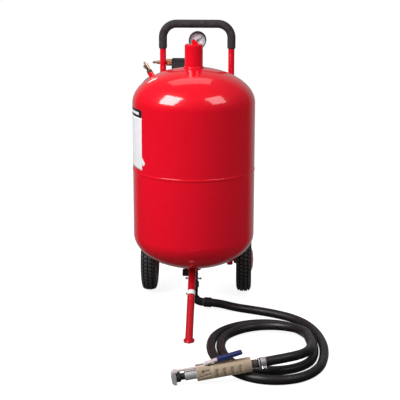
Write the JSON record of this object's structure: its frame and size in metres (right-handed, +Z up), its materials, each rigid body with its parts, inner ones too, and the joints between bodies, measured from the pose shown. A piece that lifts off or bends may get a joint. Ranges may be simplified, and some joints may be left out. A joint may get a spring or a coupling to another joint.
{
  "type": "pressure pot blaster",
  "caption": "Wheeled pressure-pot abrasive blaster: domed tank with filler neck, gauge, tube handle, front leg and a hose ending in a shut-off blast gun.",
  "frame": {"origin": "centre of the front foot's underside, on the floor", "axes": "+X to the right seen from the front, +Y back towards the wheels, +Z up; the tank axis is vertical, 270 mm behind the origin"},
  "size_m": [0.5836, 0.9077, 0.8625],
  "materials": {
    "black_cast": "black painted castings",
    "black_plastic": "moulded, satin",
    "blue_grip": "dipped vinyl sleeve",
    "brass": "turned, slightly tarnished",
    "ceramic": "dark ceramic",
    "chrome_steel": "plated",
    "filter_bronze": "porous sintered element",
    "foam": "closed-cell foam, fine pores",
    "gasket_rubber": "black",
    "gauge_face": "white printed dial, plain scale",
    "gauge_glass": "clear lens",
    "hose_rubber": "smooth wrapped cover, faint cloth marks",
    "line_rubber": "smooth black air hose",
    "needle_black": "thin black pointer",
    "red_gasket": "red silicone",
    "red_paint": "glossy powder coat, light orange peel",
    "spring_steel": "drawn wire",
    "tan_plastic": "moulded nylon, fine texture",
    "tyre_rubber": "black, block tread",
    "zinc_steel": "zinc plated"
  },
  "bodies": {
    "frame": {"air_line": "line_rubber", "air_line_clips": "black_plastic", "air_line_fittings": "brass", "air_plug": "brass", "axle": "zinc_steel", "axle_caps": "zinc_steel", "axle_washers": "zinc_steel", "blast_hose": "hose_rubber", "cleanout_plug": "black_cast", "filler_neck": "red_paint", "foam_grip": "foam", "foot_pad": "red_paint", "front_leg": "red_paint", "gauge_case": "black_cast", "gauge_dial": "gauge_face", "gauge_lens": "gauge_glass", "gauge_socket": "brass", "gun_body_left": "tan_plastic", "gun_body_right": "tan_plastic", "gun_coupling": "black_cast", "gun_tube": "zinc_steel", "handle_tube": "red_paint", "hose_clamp": "zinc_steel", "hose_ferrule": "black_cast", "inlet_elbow": "black_cast", "lever_spring": "spring_steel", "manifold_cross": "black_cast", "media_valve_body": "black_cast", "mixing_tee": "black_cast", "nozzle": "ceramic", "nozzle_nut": "chrome_steel", "outlet_elbow": "black_cast", "pipe_nipples": "brass", "pivot_pin": "zinc_steel", "safety_spring": "spring_steel", "safety_valve_body": "brass", "separator_bowl": "black_plastic", "separator_filter": "filter_bronze", "separator_head": "black_plastic", "tank_brackets": "red_paint", "tank_lower_shell": "red_paint", "tank_upper_shell": "red_paint", "threaded_bungs": "red_paint"},
    "cap_seal": {"cap_gasket": "red_gasket"},
    "cap": {"filler_cap": "red_paint"},
    "wheel_left": {"wheel_left_rim": "red_paint", "wheel_left_tyre": "tyre_rubber"},
    "wheel_right": {"wheel_right_rim": "red_paint", "wheel_right_tyre": "tyre_rubber"},
    "media_valve": {"media_valve_plug": "brass", "valve_t_bar": "zinc_steel"},
    "relief_stem": {"safety_stem": "brass", "safety_ring": "zinc_steel"},
    "needle": {"gauge_needle": "needle_black"},
    "drain_knob": {"separator_drain": "black_plastic"},
    "lever": {"gun_lever": "zinc_steel", "lever_grip": "blue_grip", "stopper_head": "zinc_steel", "stopper_pad": "gasket_rubber"}
  },
  "joints": [
    {"name": "cap_lift", "type": "slide", "parent": "frame", "child": "cap_seal", "axis": [0, 0, 1], "range_m": [0, 0.01105]},
    {"name": "cap_turn", "type": "hinge", "parent": "cap_seal", "child": "cap", "pos_m": [0, 0.27, 0.8], "axis": [0, 0, 1], "range_deg": [0, 1800]},
    {"name": "wheel_left_spin", "type": "hinge", "parent": "frame", "child": "wheel_left", "pos_m": [-0.15, 0.475, 0.1016], "axis": [1, 0, 0], "continuous": true},
    {"name": "wheel_right_spin", "type": "hinge", "parent": "frame", "child": "wheel_right", "pos_m": [0.15, 0.475, 0.1016], "axis": [1, 0, 0], "continuous": true},
    {"name": "media_valve_turn", "type": "hinge", "parent": "frame", "child": "media_valve", "pos_m": [0, 0.235, 0.112], "axis": [0, 1, 0], "range_deg": [0, 90]},
    {"name": "relief_lift", "type": "slide", "parent": "frame", "child": "relief_stem", "axis": [-0.4941, 0.142, 0.8577], "range_m": [0, 0.0025], "stiffness_N_per_m": 2000, "springref_m": -0.003, "deforming": ["safety_spring"]},
    {"name": "gauge_needle_turn", "type": "hinge", "parent": "frame", "child": "needle", "pos_m": [0, 0.4946, 0.797], "axis": [0, 1, 0], "range_deg": [-191, 79], "stiffness_Nm_per_rad": 0.01},
    {"name": "drain_turn", "type": "hinge", "parent": "frame", "child": "drain_knob", "pos_m": [-0.05825, 0.5, 0.634], "axis": [0, 0, 1], "range_deg": [0, 180]},
    {"name": "lever_squeeze", "type": "hinge", "parent": "frame", "child": "lever", "pos_m": [0.05, -0.30625, 0.04449], "axis": [-0.1736, 0.9848, 0], "range_deg": [0, 7], "stiffness_Nm_per_rad": 3, "springref_deg": -20.05, "deforming": ["lever_spring"]}
  ],
  "couplings": [
    {"joint": "cap_lift", "follows": "cap_turn", "m_per_rad": 0.00035157}
  ]
}
